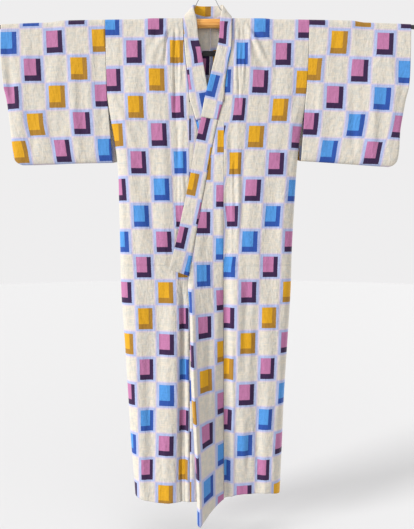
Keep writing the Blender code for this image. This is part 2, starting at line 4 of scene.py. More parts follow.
import bpy
import numpy as np
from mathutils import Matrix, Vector


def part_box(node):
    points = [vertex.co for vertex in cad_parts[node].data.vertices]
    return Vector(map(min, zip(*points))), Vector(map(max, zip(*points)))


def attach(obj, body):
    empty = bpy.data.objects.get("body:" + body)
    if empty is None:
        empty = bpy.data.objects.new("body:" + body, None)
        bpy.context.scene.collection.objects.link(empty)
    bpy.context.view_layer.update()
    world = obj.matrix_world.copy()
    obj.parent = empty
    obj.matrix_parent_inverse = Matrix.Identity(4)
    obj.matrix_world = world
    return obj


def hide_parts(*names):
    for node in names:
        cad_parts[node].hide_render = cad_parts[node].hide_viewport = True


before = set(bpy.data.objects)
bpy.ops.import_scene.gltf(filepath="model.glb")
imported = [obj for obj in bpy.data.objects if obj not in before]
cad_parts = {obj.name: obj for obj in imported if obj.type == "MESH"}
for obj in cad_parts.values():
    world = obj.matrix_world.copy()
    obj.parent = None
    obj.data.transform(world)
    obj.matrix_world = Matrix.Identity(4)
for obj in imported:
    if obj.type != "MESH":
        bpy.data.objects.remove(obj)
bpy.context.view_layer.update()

# Sizes in millimetres, as in the solids; MM turns them into metres
MM = 0.001
CLOTH = 1.1
SEAM = 0.3
BAR_Z = -150.0
BAR_R = 14.0
BAR_END = 160.0
ARM_R = 11.0
ARM_END = 430.0
TIP_R = 6.5
TIP_END = 688.0
DROOP = 12.0
REST = 0.6
SHOULDER = BAR_Z + BAR_R + REST + 1.4
BAND_HALF = 1.4
COVER_GAP = 0.5
COVER_WALL = 1.0
UNDERARM = 390.0
BACK_HEM = 1568.0
OVERLAP_TOP = 268.0
OVERLAP_SEAM = 57.0
TURN_BACK = 824.0
TUCK = 792.0

# Print: one cell of the checkerboard
CELL_X = 73.5
CELL_Y = 86.0
OVERLAP_CELL_Y = 85.1
ACROSS = 1.045
ROUND_BAR = math.pi * (BAR_R + REST)
ROUND_SLEEVE = math.pi * 10.0

# Half width of the body: depth, wearer's right, wearer's left
SIDE = (
    (0, 324, 326), (180, 322, 322), (275, 318, 315), (330, 310, 308), (390, 300, 300),
    (463, 291, 293), (600, 287, 285), (734, 285, 279), (878, 283, 276), (1050, 273, 267),
    (1240, 263, 257), (1395, 255, 252), (1568, 243, 246), (1640, 240, 244),
)
# Cloth from the plane of the bar: depth, front, back
GIRTH = (
    (0, 15, 15), (80, 17, 18), (180, 18, 20), (300, 19, 22), (450, 20, 25), (650, 22, 30),
    (850, 25, 35), (1100, 29, 40), (1350, 34, 46), (1580, 39, 51), (1640, 40, 52),
)
# Inner edge of the front panels: depth, wearer's right, wearer's left
EDGE = (
    (0, 77, 80), (50, 75, 80), (100, 71.5, 78), (168, 65, 63.7), (215, 59.5, 57.5),
    (257, 57, 55.4), (300, 57, 55), (1640, 57, 57),
)
# Collar seam on the overlap strips: depth, wearer's right, wearer's left
SLANT = (
    (257, -57, 55.4), (326, -37, 36), (402, -19, 19.2), (489, -2, 2.6), (577, 14, -14),
    (656, 28, -28.5), (751, 44, -45), (824, 57, -57.5), (1000, 88, -92),
)
# Front hem: x, depth
HEM = (
    (-246, 1567), (-190, 1580), (-143, 1584), (-100, 1581), (-40, 1579), (40, 1570),
    (62, 1562), (95, 1552), (150, 1550), (215, 1552), (248, 1562),
)
# Free edge of the top overlap strip: depth, x, forward, drop of the hem
RIDGE = (
    (560, -20, 0, 0), (700, -38, 9, 0), (824, -51, 20, 4), (958, -46, 30, 12),
    (1140, -42, 43, 22), (1298, -33, 54, 40), (1474, -23, 62, 52), (1626, -21, 66, 57),
    (1700, -21, 66, 58),
)
# Large folds: side, x at the top, x at the hem, from, to, outward, half width
FOLDS = (
    ("front", -79, -80, 800, 1900, -8.0, 13),
    ("front", -112, -125, 760, 1900, 6.0, 26),
    ("front", -98, -100, 10, 760, -3.5, 12),
    ("front", -180, -196, 980, 1900, -4.5, 20),
    ("front", 64, 64, 780, 1900, -8.0, 14),
    ("front", 98, 98, 740, 1900, 5.0, 24),
    ("front", 112, 146, 10, 620, -3.0, 14),
    ("front", 160, 166, 900, 1900, -5.0, 20),
    ("front", 205, 196, 1150, 1900, 4.0, 18),
    ("front", -106, -94, 0, 70, 4.0, 6),
    ("front", -122, -112, 0, 60, -3.0, 5),
    ("front", 106, 98, 0, 70, 4.0, 6),
    ("front", 124, 116, 0, 62, -3.0, 5),
    ("back", -110, -150, 120, 1900, 6.0, 30),
    ("back", 95, 128, 260, 1900, -6.0, 26),
    ("back", -60, -62, 700, 1900, -6.0, 22),
    ("back", 186, 170, 900, 1900, 6.0, 24),
    ("back", 20, 34, 1000, 1900, 5.0, 24),
    ("back", -200, -184, 1150, 1900, -5.0, 20),
    ("back", -102, -92, 0, 66, 4.0, 6),
    ("back", 104, 94, 0, 62, 4.0, 6),
)
# Sleeve edges: depth, right outer, right inner, left outer, left inner
SLEEVE = (
    (0, 658, 324.6, 652, 326.6), (111, 661, 323, 652, 324.6), (204, 655, 321.6, 650, 321.6),
    (279, 645, 319.4, 639, 317), (350, 638, 314, 628, 312), (422, 632, 309, 625, 307),
    (480, 627, 307, 617, 305),
)
# Sleeve hem: share of the way to the wrist, wearer's right, wearer's left
SLEEVE_HEM = ((0.0, 457, 451), (0.35, 459, 458), (0.75, 464, 467), (1.0, 465, 472))
# Sleeve folds: sleeve, share at the top, share at the hem, from, to, outward, half share
SLEEVE_FOLDS = (
    ("right", 0.30, 0.34, 60, 460, 2.5, 0.07),
    ("right", 0.62, 0.58, 90, 460, -2.5, 0.06),
    ("left", 0.36, 0.30, 60, 460, -2.5, 0.07),
    ("left", 0.90, 0.86, 150, 460, 3.0, 0.05),
    ("left", 0.66, 0.70, 60, 420, 2.0, 0.07),
)
# Collar round the neck, z from the shoulder: x, y, z of the seam, x, y, z of the free edge
COLLAR_LEFT = (
    (0.0, 17.8, -15.2, 0.0, 24.0, 46.0),
    (28.0, 17.8, -15.2, 22.0, 23.5, 46.4),
    (56.0, 17.6, -14.0, 39.0, 19.5, 47.0),
    (71.0, 13.8, -5.0, 47.0, 11.5, 46.0),
    (77.2, 3.0, 1.6, 49.5, 3.0, 42.0),
    (78.2, -7.0, 0.4, 49.5, -6.0, 33.0),
    (78.7, -14.0, -4.8, 48.5, -13.0, 22.0),
    (79.0, -17.8, -18.0, 46.5, -17.8, 10.0),
    (79.6, -18.3, -50.0, 42.5, -19.5, -14.0),
)
COLLAR_RIGHT = (
    (0.0, 17.8, -15.2, 0.0, 24.0, 46.0),
    (-28.0, 17.8, -15.2, -22.0, 23.5, 46.4),
    (-55.0, 17.6, -14.0, -35.5, 19.5, 47.0),
    (-68.0, 13.8, -5.0, -42.0, 11.5, 46.0),
    (-74.2, 3.0, 1.6, -44.0, 3.0, 41.0),
    (-75.2, -7.0, 0.4, -43.5, -6.0, 31.0),
    (-75.4, -14.0, -4.8, -42.0, -13.0, 20.0),
    (-75.4, -17.8, -18.0, -39.0, -17.8, 7.0),
    (-74.6, -18.3, -50.0, -33.5, -19.0, -17.0),
)
# Collar's free edge on the fronts: depth of its seam, left x, left depth, right x, right depth
FREE = (
    (100, 40, 62, -29, 64), (140, 33, 100, -21, 100), (200, 12, 186, -7, 182),
    (257, -3, 243, 4, 240), (326, -18, 316, 19, 315), (402, -35, 390, 36, 390),
    (489, -50, 477, 51, 477), (577, -68, 566, 67, 566), (656, -84, 644, 83, 644),
    (751, -105, 739, 101, 739), (824, -121, 802, 118, 803),
)
FIRST_ROW = 16.0
LAST_ROW = 1568.0

# Smaller creases: x and depth of one end, x and depth of the other, height outward, half width
CREASE_SIZE = 1.5
CREASES = {
    "front": (
        (-102, 4, -99, 360, -3.6, 3.5), (-94, 4, -90, 300, 2.6, 4), (-110, 4, -113, 300, 2.4, 4.5),
        (-120, 4, -136, 190, -2.2, 4.5), (-128, 6, -158, 180, 2.0, 6), (-84, 30, -87, 240, -1.8, 3.5),
        (-138, 10, -206, 160, -1.6, 9), (-112, 8, -186, 140, 1.8, 7), (-230, 60, -250, 330, 1.3, 17),
        (-196, 180, -178, 420, -1.4, 15), (-300, 250, -240, 420, 1.8, 11),
        (-285, 300, -216, 500, -1.5, 11), (-150, 330, -140, 640, 1.6, 14),
        (-112, 240, -120, 560, -1.5, 10), (-225, 520, -214, 770, 1.6, 17),
        (-262, 470, -250, 760, -1.3, 12), (-175, 560, -168, 775, -1.5, 12), (-80, 400, -84, 770, 1.8, 5),
        (-66, 280, -70, 640, -1.2, 6), (-89, 290, -92, 780, -1.9, 4.5), (-99, 380, -102, 760, 1.3, 6),
        (-232, 830, -226, 1180, 1.5, 15), (-150, 870, -158, 1330, -1.6, 13),
        (-207, 1240, -214, 1560, 1.9, 13), (-98, 1120, -100, 1500, 1.4, 9),
        (-250, 1050, -236, 1500, -1.4, 10), (-140, 1340, -146, 1570, 1.5, 11), (98, 4, 95, 260, 2.6, 3.5),
        (105, 4, 104, 330, -3.4, 3.5), (112, 4, 112, 250, 2.8, 3.5), (119, 4, 122, 190, -2.4, 4),
        (90, 6, 88, 280, -2.0, 3.5), (126, 4, 134, 150, 2.0, 4.5), (112, 0, 190, 165, 3.6, 8),
        (128, 44, 206, 190, -2.4, 8), (78, 330, 84, 620, -1.6, 6), (67, 380, 69, 800, -0.9, 4),
        (76, 400, 77, 790, 3.2, 5), (88, 420, 86, 780, -1.6, 5), (98, 440, 95, 760, 2.2, 6),
        (66, 820, 68, 1900, -0.8, 5), (78, 840, 80, 1900, 2.0, 6), (-80, 790, -81, 1900, -4.8, 4),
        (-90, 790, -90, 1900, 3.2, 5.5), (-68, 790, -69, 1900, 2.0, 4.5), (135, 16, 232, 110, 2.0, 9),
        (140, 90, 205, 210, -1.8, 13), (246, 110, 262, 360, 1.3, 16), (300, 250, 236, 430, 1.7, 11),
        (286, 310, 218, 500, -1.5, 11), (92, 260, 96, 560, 1.4, 8), (120, 380, 128, 700, -1.4, 11),
        (200, 330, 190, 640, 1.5, 17), (168, 520, 160, 770, -1.3, 12), (240, 500, 236, 770, 1.6, 13),
        (80, 600, 84, 775, -1.4, 8), (132, 820, 126, 1190, -1.6, 11), (186, 860, 192, 1150, 1.5, 14),
        (228, 960, 222, 1400, -1.5, 12), (112, 1240, 118, 1540, 1.5, 10), (142, 1330, 138, 1545, -1.5, 9),
        (178, 1260, 180, 1540, 1.7, 11), (214, 1380, 220, 1550, 1.4, 9), (30, 880, 26, 1250, 1.6, 9),
        (8, 960, 2, 1480, -1.8, 9), (-16, 1020, -12, 1500, 1.4, 7), (22, 1280, 28, 1600, -1.5, 8),
        (38, 560, 34, 800, 1.0, 8), (10, 640, -8, 800, -1.0, 8),
    ),
    "back": (
        (-92, 4, -96, 240, 2.6, 4), (-100, 4, -106, 210, -2.6, 4), (-112, 6, -132, 180, 2.0, 6),
        (94, 4, 98, 250, 2.6, 4), (102, 4, 108, 220, -2.6, 4), (114, 6, 136, 190, 2.0, 6),
        (-40, 30, -52, 240, 1.3, 9), (46, 34, 60, 260, -1.4, 9), (18, 60, 24, 420, 1.2, 8),
        (-22, 90, -18, 520, -1.2, 8), (-210, 90, -236, 360, 1.7, 16), (216, 110, 244, 400, 1.6, 16),
        (-300, 260, -216, 450, 1.9, 12), (-282, 320, -196, 540, -1.6, 12), (302, 250, 224, 460, 1.9, 12),
        (284, 320, 200, 560, -1.6, 12), (-150, 300, -168, 690, -1.8, 18), (150, 340, 166, 720, 1.8, 18),
        (-80, 380, -86, 760, 1.6, 12), (72, 460, 66, 780, -1.7, 13), (-236, 560, -228, 780, 1.7, 15),
        (238, 520, 230, 780, -1.6, 14), (4, 540, 8, 780, 1.5, 11), (-186, 830, -194, 1260, 1.9, 17),
        (-128, 860, -122, 1330, -2.0, 14), (-30, 840, -34, 1240, 1.8, 12), (66, 900, 74, 1390, 2.0, 15),
        (126, 1000, 122, 1540, -2.0, 15), (206, 870, 200, 1300, 1.8, 15),
        (-232, 1120, -222, 1550, 2.0, 12), (-152, 1330, -160, 1560, -2.1, 13),
        (-84, 1270, -90, 1560, 2.2, 12), (-8, 1290, -12, 1565, -1.9, 12), (98, 1400, 102, 1565, 2.1, 11),
        (172, 1290, 168, 1560, 2.0, 12), (224, 1360, 218, 1560, -1.7, 10),
    ),
    "sleeve_right": (
        (362, 40, 380, 330, 1.3, 11), (420, 120, 408, 455, -1.6, 13), (468, 60, 486, 260, 1.1, 13),
        (520, 210, 506, 455, 1.5, 12), (556, 40, 566, 210, -1.1, 12), (604, 130, 592, 440, 1.3, 13),
        (640, 60, 632, 300, -1.2, 10), (338, 160, 350, 440, -1.3, 9), (452, 330, 462, 455, 1.3, 9),
        (572, 330, 560, 455, -1.4, 10),
    ),
    "sleeve_left": (
        (366, 60, 352, 380, 1.3, 11), (410, 40, 424, 240, -1.2, 12), (452, 190, 440, 455, 1.6, 12),
        (500, 60, 512, 340, -1.3, 13), (540, 250, 528, 460, 1.3, 11), (580, 50, 590, 300, 1.2, 12),
        (622, 200, 606, 460, -1.4, 11), (640, 60, 632, 220, 1.0, 9), (346, 240, 358, 445, -1.2, 9),
        (474, 350, 480, 460, -1.3, 9),
    ),
}

# Slow unevenness of hung cotton: wavelength across, wavelength along, phase, height
RIPPLES = ((61.0, 1350.0, 0.4, 0.45), (97.0, -870.0, 2.1, 0.55), (38.0, 540.0, 4.0, 0.26),
           (151.0, 610.0, 1.3, 0.6), (83.0, -330.0, 5.2, 0.3), (27.0, -390.0, 0.9, 0.16))


def smooth(value):
    part = np.clip(value, 0.0, 1.0)
    return part * part * (3.0 - 2.0 * part)


def ease(value, start, run):
    """A soft rise from 0 to 1 over a run after the start."""
    return smooth((value - start) / run)


def even_runs(*runs):
    """Rising values in several even runs, each from its start to its end in a count of values."""
    return np.unique(np.concatenate([np.linspace(*run) for run in runs]))


def follow(table, column, at):
    """A smooth curve through one column of a table, against the first column."""
    xs = np.array([row[0] for row in table], dtype=float)
    ys = np.array([row[column] for row in table], dtype=float)
    slope = np.gradient(ys, xs)
    at = np.clip(np.asarray(at, dtype=float), xs[0], xs[-1])
    low = np.clip(np.searchsorted(xs, at) - 1, 0, len(xs) - 2)
    span = xs[low + 1] - xs[low]
    t = (at - xs[low]) / span
    rise = ys[low] * (1 + 2 * t) * (1 - t) ** 2 + ys[low + 1] * t * t * (3 - 2 * t)
    return rise + span * (slope[low] * t * (1 - t) ** 2 - slope[low + 1] * t * t * (1 - t))


def on_side(table, sign, at):
    """A table whose second column is the wearer's right and whose third is the left."""
    return follow(table, 2 if sign > 0 else 1, at)


def bar_height(x):
    out = np.clip(np.abs(x) - BAR_END, 0.0, None) / (TIP_END - BAR_END)
    return BAR_Z - DROOP * out * out


def bar_radius(x):
    first = (BAR_R - ARM_R) * smooth((np.abs(x) - BAR_END - 12) / 50)
    second = (ARM_R - TIP_R) * smooth((np.abs(x) - ARM_END - 28) / 50)
    return BAR_R - first - second + REST


def nose(value):
    """Height of a rounded edge, from 0 at its end to 1 where the cloth lies flat."""
    return np.sqrt(1.0 - (1.0 - np.clip(value, 0.0, 1.0)) ** 2)


def half_width(depth, sign):
    return on_side(SIDE, sign, depth)


def first_depth(x):
    return SHOULDER - bar_height(x)


def fold_sum(side, x, depth):
    total = np.zeros(np.broadcast(x, depth).shape)
    for name, x_top, x_low, start, end, out, wide in FOLDS:
        if name != side:
            continue
        run = (end if end < 1000 else 1580) - start
        centre = x_top + (x_low - x_top) * np.clip((depth - start) / run, 0, 1)
        rise = ease(depth, start, 160.0) if start > 20 else ease(depth, 15, 12.0)
        rise = rise * smooth((end - depth) / (0.5 * (end - start)))
        total = total + out * rise * np.exp(-((x - centre) / wide) ** 2)
    return total


def crease_sum(group, x, depth):
    """Small creases, each a soft ridge or trough that fades at both ends, and the slow ripple."""
    total = np.zeros(np.broadcast(x, depth).shape)
    for x1, d1, x2, d2, height, wide in CREASES[group]:
        t = (depth - d1) / (d2 - d1)
        bow = np.clip(0.02 * (d2 - d1) * height, -5.0, 5.0) * np.sin(math.pi * np.clip(t, 0, 1))
        centre = x1 + (x2 - x1) * t + bow
        fade = CREASE_SIZE * smooth(t / 0.3) * smooth((1 - t) / 0.45)
        off = (x - centre) / wide
        total = total + height * fade * (np.exp(-off * off) - 0.3 * np.exp(-((off - 1.9) ** 2)))
    for across, along, phase, height in RIPPLES:
        wave = np.sin(2 * math.pi * (x / across + depth / along) + phase)
        total = total + height * wave * ease(depth, 24, 120.0)
    return total


def tuck(depth):
    """The turned tuck at the waist shows as one soft step all round."""
    above = 0.9 * smooth((depth - TUCK + 60) / 60.0) * smooth((TUCK - depth) / 2.5)
    return above - 0.9 * np.exp(-(((depth - TUCK - 2.5) / 3.5) ** 2))


def stand(side, x, depth):
    """Distance of the cloth's inner face from the plane of the bar."""
    width = np.where(np.asarray(x) >= 0, half_width(depth, 1), half_width(depth, -1))
    away = width - np.abs(x)
    girth = follow(GIRTH, 1 if side == "front" else 2, depth)
    closed = girth * nose(away / 46.0)
    edge = 10.0
    share = np.clip(np.abs(x) / width, 0.0, 1.0) ** 4
    opened = girth + (edge - girth) * share
    closing = smooth((depth - 220.0) / (UNDERARM - 220.0))
    hang = closed * closing + opened * (1.0 - closing)
    folds = fold_sum(side, x, depth) * smooth(away / 60.0)
    small = (crease_sum(side, x, depth) + tuck(depth)) * smooth(away / 26.0)
    top = smooth((depth - first_depth(x)) / 110.0)
    near = smooth((depth - first_depth(x)) / 40.0)
    return bar_radius(x) * (1.0 - top) + (hang + folds) * top + small * near


def lift(x, depth):
    """How far the wearer's left front lies over the right one."""
    across = smooth((215.0 - x) / 85.0)
    valley = 3.2 * np.exp(-((x - 64.0) / 13.0) ** 2) * ease(depth, 480.0, 90.0)
    return (7.0 * across - valley * smooth((960.0 - depth) / 120.0)) * ease(depth, 50.0, 100.0)


def forward(x, depth):
    """The top overlap strip swings forward towards its free edge."""
    ridge = follow(RIDGE, 1, depth)
    share = np.clip((56.0 - x) / (56.0 - ridge), 0.0, 1.5)
    return follow(RIDGE, 2, depth) * share ** 1.4


def front_y(sign, x, depth):
    away = stand("front", x, depth)
    if sign > 0:
        away = away + lift(x, depth) + forward(x, depth)
    return -away


def spread(shape, start, end, shares):
    """Positions along a section at equal shares of its length."""
    dense = np.sin(np.linspace(0.0, 1.0, 300) * math.pi / 2) * (end - start) + start
    run = np.hypot(np.diff(dense), np.diff(shape(dense)))
    length = np.concatenate([[0.0], np.cumsum(run)])
    return np.interp(np.asarray(shares) * length[-1], length, dense)


# Print of each body panel, by the sign of x: depth, x of its middle column of blocks
MIDDLE = {
    1: ((0, 175), (201, 170), (376, 157), (548, 148), (712, 138), (876, 135), (1044, 133),
        (1215, 129), (1385, 124), (1640, 122)),
    -1: ((0, -164), (197, -161), (544, -147), (878, -135), (1218, -133), (1555, -138),
         (1640, -138)),
}
# Depth, row of the print
DROP = {
    1: ((0, 0.16), (115, 1.5), (201, 2.5), (292, 3.5), (376, 4.5), (461, 5.5), (548, 6.5),
        (631, 7.5), (712, 8.5), (795, 9.5), (876, 10.5), (962, 11.5), (1044, 12.5), (1130, 13.5),
        (1640, 19.53)),
    -1: ((0, 0.26), (107, 1.5), (197, 2.5), (280, 3.5), (458, 5.5), (544, 6.5), (631, 7.5),
         (878, 10.5), (965, 11.5), (1218, 14.5), (1305, 15.5), (1469, 17.5), (1555, 18.5),
         (1640, 19.5)),
}
MIDDLE_CELL = {1: 0.5, -1: 2.5}
NECK_LEAN = 10.0
# Narrowing of the columns where the cloth turns away from the eye, past TURN_FROM on either side
# of the middle column: depth, left inward, left outward, right inward, right outward
TURN_FROM = 35.0
TURN = (
    (0, 0.37, 0.0, 0.1, 0.0), (200, 0.37, 0.0, 0.2, 0.0), (300, 0.4, 0.0, 0.24, 0.0),
    (376, 0.2, 0.0, 0.2, 0.0), (480, 0.36, 0.0, 0.23, 0.0), (590, 0.15, 0.02, 0.45, 0.02),
    (670, 0.5, 0.02, 0.5, 0.02), (740, 0.5, 0.02, 0.5, 0.02),
    (800, 0.08, 0.03, 0.55, 0.04), (850, 0.06, 0.04, 0.6, 0.05),
    (1130, 0.04, 0.1, 0.62, 0.12), (1300, 0.04, 0.16, 0.62, 0.2), (1469, 0.04, 0.26, 0.6, 0.32),
    (1640, 0.04, 0.3, 0.6, 0.36),
)


def print_row(sign, depth):
    return np.interp(depth, *zip(*DROP[sign]))


def front_print(sign, x, depth):
    off = x - follow(MIDDLE[sign], 1, depth)
    outward = off * sign
    column = 1 if sign > 0 else 3
    turned = follow(TURN, column + 1, depth) * np.clip(outward - TURN_FROM, 0.0, None)
    turned = turned - follow(TURN, column, depth) * np.clip(-outward - TURN_FROM, 0.0, None)
    across = MIDDLE_CELL[sign] + (ACROSS * off + sign * turned) / CELL_X
    return across, print_row(sign, depth)


def back_print(sign, x, depth):
    across = MIDDLE_CELL[sign] + ACROSS * (x - MIDDLE[sign][0][1]) / CELL_X
    return across, print_row(sign, FIRST_ROW) - (ROUND_BAR + depth - FIRST_ROW) / CELL_Y


def fine_shares():
    """Shares from 0 to 1, closer together at both edges."""
    close = np.array((0.0, 0.007, 0.018, 0.034, 0.054))
    middle = np.concatenate([np.linspace(0.074, 0.3, 19), np.linspace(0.3, 0.92, 32)[1:]])
    return np.concatenate([close, middle, 1.0 - close[::-1]])


def place_object(name, data):
    obj = bpy.data.objects.new(name, data)
    bpy.context.scene.collection.objects.link(obj)
    return obj


def mesh_object(name, points, faces, prints):
    """A mesh from points in millimetres with the print's place on each of them."""
    mesh = bpy.data.meshes.new(name)
    mesh.from_pydata([tuple(p) for p in np.asarray(points) * MM], [], faces)
    mesh.update()
    layer = mesh.uv_layers.new(name="print")
    corner = np.empty(len(mesh.loops), dtype=np.int64)
    mesh.loops.foreach_get("vertex_index", corner)
    layer.data.foreach_set("uv", np.asarray(prints, dtype=np.float32)[corner].ravel())
    mesh.polygons.foreach_set("use_smooth", [True] * len(mesh.polygons))
    return place_object(name, mesh)


def thicken(obj, wall=CLOTH):
    solid = obj.modifiers.new("Cloth thickness", "SOLIDIFY")
    solid.thickness = wall * MM
    solid.offset = 1.0
    solid.use_quality_normals = True
    return obj


def strip_faces(lines, flip=False):
    """Quads between neighbouring lines of point numbers."""
    faces = []
    for upper, lower in zip(lines[:-1], lines[1:]):
        for i in range(len(upper) - 1):
            face = (upper[i], lower[i], lower[i + 1], upper[i + 1])
            faces.append(face[::-1] if flip else face)
    return faces


def add_line(points, prints, place, print_place):
    """Adds a line of points with their places in the print, and gives their numbers."""
    line = list(range(len(points), len(points) + len(place[0])))
    points += list(zip(*place))
    prints += list(zip(*print_place))
    return line


def close(points, front, back):
    """Brings a point of the front and one of the back together in the middle."""
    x, _, z = points[front]
    points[front] = points[back] = (x, 0.0, z)


def round_bar(points, prints, first, last, behind, radii, length, turns):
    """Cloth over the bar from its first line to its last; the print's way across turns to behind."""
    ring = [first]
    for k in range(1, turns):
        angle = math.pi * k / turns
        share = float(smooth((k / turns - 0.2) / 0.8))
        line = []
        for index, other, radius in zip(first, behind, radii):
            x = points[index][0]
            u, v = prints[index]
            z = float(bar_height(x)) + radius * math.sin(angle)
            line.append(len(points))
            points.append((x, -radius * math.cos(angle), z))
            prints.append((u + (prints[other][0] - u) * share, v - length * k / turns / CELL_Y))
        ring.append(line)
    return strip_faces(ring + [last], True)


def compact(points, prints, faces):
    """Leaves out the points that no face uses."""
    used = sorted({index for face in faces for index in face})
    order = {old: new for new, old in enumerate(used)}
    faces = [tuple(order[index] for index in face) for face in faces]
    return [points[old] for old in used], [prints[old] for old in used], faces


def body_panel(name, sign):
    """One strip from the back hem over the bar to the front hem, open at the armhole."""
    shares = fine_shares()
    neck_steps = 14
    nominals = even_runs((16, 60, 12), (60, 770, 101), (770, 806, 13), (806, 1556, 104),
                         (1560, 1568, 3), (UNDERARM, UNDERARM, 1))
    points, prints, front, back = [], [], [], []
    for nominal in nominals:
        part = (nominal - FIRST_ROW) / (LAST_ROW - FIRST_ROW)
        width = float(half_width(nominal, sign))
        inner = float(on_side(EDGE, sign, nominal))
        xs = spread(lambda x: front_y(sign, sign * x, nominal), inner, width, shares)
        low = follow(HEM, 1, sign * xs)
        depth = first_depth(xs) + part * (low - first_depth(xs))
        xs = xs + shares * (half_width(depth, sign) - width)
        xs = xs + (1 - shares) * (on_side(EDGE, sign, depth) - inner)
        place = (sign * xs, front_y(sign, sign * xs, depth), SHOULDER - depth)
        front.append(add_line(points, prints, place, front_print(sign, sign * xs, depth)))
        neck = inner * np.arange(neck_steps) / neck_steps
        xs = np.concatenate([neck, inner + (width - inner) * shares])
        even = spread(lambda x: stand("back", sign * x, nominal), 0.0, width, xs / width)
        xs = xs + (even - xs) * ease(nominal, 16, 200.0)
        low = BACK_HEM + (follow(HEM, 1, sign * width) - BACK_HEM) * (xs / width) ** 6
        depth = first_depth(xs) + part * (low - first_depth(xs))
        xs = xs + (xs / width) * (half_width(depth, sign) - width)
        xs[0] = SEAM / 2 + 0.1
        aside = NECK_LEAN * smooth(1.0 - xs / 76.0) * smooth((330.0 - depth) / 240.0)
        x = sign * xs + aside
        place = (x, stand("back", x, depth), SHOULDER - depth)
        back.append(add_line(points, prints, place, back_print(sign, sign * xs, depth)))
    for j, nominal in enumerate(nominals):
        if nominal >= UNDERARM:
            close(points, front[j][-1], back[j][-1])
    radii = [float(bar_radius(points[index][0])) for index in front[0]]
    behind = back[0][neck_steps:]
    over = round_bar(points, prints, front[0], behind, behind, radii, ROUND_BAR, 18)
    return closed_piece(name, sign, points, prints, front, over, back)


def closed_piece(name, sign, points, prints, front, over, back):
    """Front, cloth over the bar and back, joined at the side seam, where they share points."""
    faces = strip_faces(front) + strip_faces([line[::-1] for line in back]) + over
    if sign < 0:
        faces = [face[::-1] for face in faces]
    points, prints, faces = compact(points, prints, faces)
    obj = mesh_object(name, points, faces, prints)
    weld = obj.modifiers.new("Side seam", "WELD")
    weld.merge_threshold = 0.00002
    return thicken(obj)


def sleeve_half(share, part, depth, x):
    """Half the distance between the inner faces of a sleeve."""
    top = smooth((depth - first_depth(x)) / 100.0)
    edge_in = 10.0 * (1 - top) + 9.4 * top
    half = bar_radius(x) * (1 - top) + (9.4 + 1.0 * np.sin(math.pi * share)) * top
    near = smooth(1.0 - share / 0.15)
    half = half * (1 - near) + (bar_radius(x) * (1 - top) + edge_in * top) * near
    half = half * nose((1.0 - part) / 0.07)
    shut = ease(part, 0.46, 0.1)
    return half * (1.0 - shut + shut * nose((1.0 - share) / 0.07))


def sleeve_inner(sign, depth, side):
    """The sleeve's edge runs along the body's at the armhole and hangs free below it."""
    joined = half_width(depth, sign) + SEAM + 0.3 + 0.6 * ease(depth, 150.0, 60.0)
    free = follow(SLEEVE, 4 if sign > 0 else 2, depth)
    if side == "back":
        free = np.maximum(free - 13.0 * ease(depth, 290.0, 120.0), joined + 1.0)
    return joined + (np.maximum(free, joined) - joined) * ease(depth, 250.0, 90.0)


# Print of each sleeve: depth, x of its middle column of blocks, pitch of its columns
SLEEVE_MIDDLE = {
    1: ((0, 498, 73.8), (74, 495.9, 73.8), (160, 489.4, 75), (246, 487.2, 76), (333, 480.5, 74),
        (419, 466.2, 71.6), (470, 459, 71)),
    -1: ((0, 490, 73.5), (74, 488, 73.4), (160, 485, 75), (246, 482.5, 74), (333, 478.5, 75),
         (419, 467, 69.4), (470, 461, 69)),
}
# Middle cell, direction of the count, depth of the first row, its tilt at the body and the wrist
SLEEVE_CELL = {1: (4.5, 1, 77.0, -3.0, 7.0), -1: (1.5, -1, 74.0, -3.0, 5.0)}


def sleeve_print(sign, x, depth, share, side):
    """The print's place on a sleeve; the back is the same strip, over the bar."""
    cell, direction, at, body, wrist = SLEEVE_CELL[sign]
    level = depth if side == "front" else np.zeros(len(x))
    middle = follow(SLEEVE_MIDDLE[sign], 1, level)
    pitch = follow(SLEEVE_MIDDLE[sign], 2, level)
    u = cell + direction * (np.abs(x) - middle) / pitch
    tilt = body + (wrist - body) * share
    if side == "front":
        return u, 1.5 + (depth - at - tilt) / CELL_Y
    top = first_depth(x)
    return u, 1.5 + (top - at - tilt - ROUND_SLEEVE - (depth - top)) / CELL_Y


